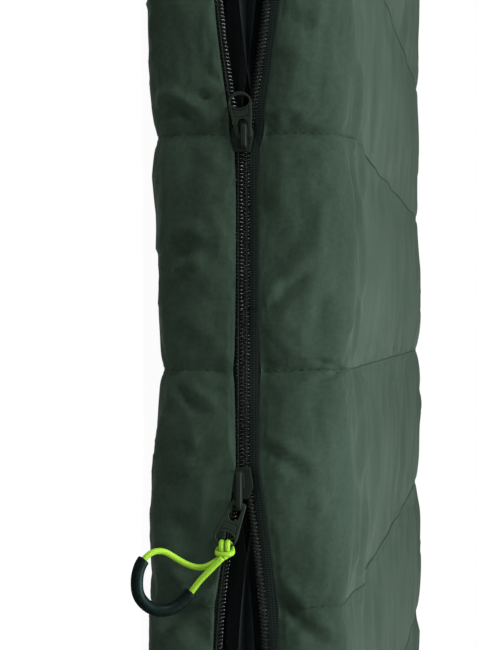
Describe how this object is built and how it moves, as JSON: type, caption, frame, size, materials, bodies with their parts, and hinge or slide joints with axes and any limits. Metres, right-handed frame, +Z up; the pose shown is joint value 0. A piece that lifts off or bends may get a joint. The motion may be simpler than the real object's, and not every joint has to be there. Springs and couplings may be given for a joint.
{
  "type": "sleeping bag",
  "caption": "Rectangular quilted sleeping bag lying flat, with an L-shaped two-way zip, two sliders and a corded pull.",
  "frame": {"origin": "centre of the bag's footprint on the surface that it lies on", "axes": "+X to the head end along the length, -Y to the zip side, +Z up through the thickness"},
  "size_m": [2.2, 0.8762, 0.104],
  "materials": {
    "shell_fabric": "matte",
    "lining_fabric": "matte",
    "filling": "matte",
    "thread": "matte",
    "zip_tape": "matte",
    "zip_coil": "satin",
    "end_stop_metal": "satin",
    "slider_metal": "satin",
    "tab_metal": "satin",
    "lime_cord": "matte",
    "grip_rubber": "satin"
  },
  "bodies": {
    "bottom_quilt": {"bottom_shell": "shell_fabric", "bottom_filling": "filling", "bottom_lining": "lining_fabric", "bottom_stitching": "thread", "far_side_panel": "shell_fabric"},
    "top_quilt": {"top_shell": "shell_fabric", "top_filling": "filling", "top_lining": "lining_fabric", "top_stitching": "thread", "draft_tube": "lining_fabric"},
    "head_slider_body": {"head_slider": "slider_metal"},
    "foot_slider_body": {"foot_slider": "slider_metal"},
    "head_tab_body": {"head_tab": "tab_metal"},
    "foot_tab_body": {"foot_tab": "tab_metal"},
    "pull_loop": {"cord_knot": "lime_cord", "pull_cord": "lime_cord", "grip_tube": "grip_rubber"},
    "upper_head_row": {"upper_head_tape": "zip_tape", "upper_head_coil": "zip_coil", "upper_head_stop": "end_stop_metal"},
    "lower_head_row": {"lower_head_tape": "zip_tape", "lower_head_coil": "zip_coil", "lower_head_stop": "end_stop_metal"},
    "upper_foot_row": {"upper_foot_tape": "zip_tape", "upper_foot_coil": "zip_coil", "upper_foot_stop": "end_stop_metal"},
    "lower_foot_row": {"lower_foot_tape": "zip_tape", "lower_foot_coil": "zip_coil", "lower_foot_stop": "end_stop_metal"}
  },
  "joints": [
    {"name": "top_fold", "type": "hinge", "parent": "bottom_quilt", "child": "top_quilt", "pos_m": [0, 0.4255, 0.052], "axis": [-1, 0, 0], "range_deg": [0, 180], "deforming": ["far_side_panel"]},
    {"name": "head_slider_slide", "type": "slide", "parent": "bottom_quilt", "child": "head_slider_body", "axis": [1, 0, 0], "range_m": [-0.07, 0.95]},
    {"name": "foot_slider_slide", "type": "slide", "parent": "bottom_quilt", "child": "foot_slider_body", "axis": [-1, 0, 0], "range_m": [-0.07, 0.97]},
    {"name": "upper_head_row_shift", "type": "slide", "parent": "top_quilt", "child": "upper_head_row", "axis": [0, 0, 1], "range_m": [-0.0104, 0.00086], "deforming": ["upper_head_tape", "upper_head_coil"]},
    {"name": "lower_head_row_shift", "type": "slide", "parent": "bottom_quilt", "child": "lower_head_row", "axis": [0, 0, 1], "range_m": [-0.00086, 0.0104], "deforming": ["lower_head_tape", "lower_head_coil"]},
    {"name": "upper_foot_row_shift", "type": "slide", "parent": "top_quilt", "child": "upper_foot_row", "axis": [0, 0, 1], "range_m": [-0.0121, 0.00097], "deforming": ["upper_foot_tape", "upper_foot_coil"]},
    {"name": "lower_foot_row_shift", "type": "slide", "parent": "bottom_quilt", "child": "lower_foot_row", "axis": [0, 0, 1], "range_m": [-0.00097, 0.0121], "deforming": ["lower_foot_tape", "lower_foot_coil"]},
    {"name": "head_tab_hinge", "type": "hinge", "parent": "head_slider_body", "child": "head_tab_body", "pos_m": [0.1232, -0.4266, 0.0508], "axis": [-0.3746, 0, -0.9272], "range_deg": [0, 120]},
    {"name": "foot_tab_hinge", "type": "hinge", "parent": "foot_slider_body", "child": "foot_tab_body", "pos_m": [-0.0564, -0.4266, 0.0532], "axis": [-0.1184, 0, 0.993], "range_deg": [0, 180]},
    {"name": "pull_loop_swing", "type": "hinge", "parent": "head_tab_body", "child": "pull_loop", "pos_m": [0.14258, -0.4266, 0.04297], "axis": [-0.3746, 0, -0.9272], "range_deg": [-120, 0]}
  ],
  "couplings": [
    {"joint": "upper_head_row_shift", "follows": "head_slider_slide", "ratio": -0.010842},
    {"joint": "lower_head_row_shift", "follows": "head_slider_slide", "ratio": 0.010842},
    {"joint": "upper_foot_row_shift", "follows": "foot_slider_slide", "ratio": -0.012371},
    {"joint": "lower_foot_row_shift", "follows": "foot_slider_slide", "ratio": 0.012371},
    {"joint": "pull_loop_swing", "follows": "head_tab_hinge", "ratio": -1}
  ]
}
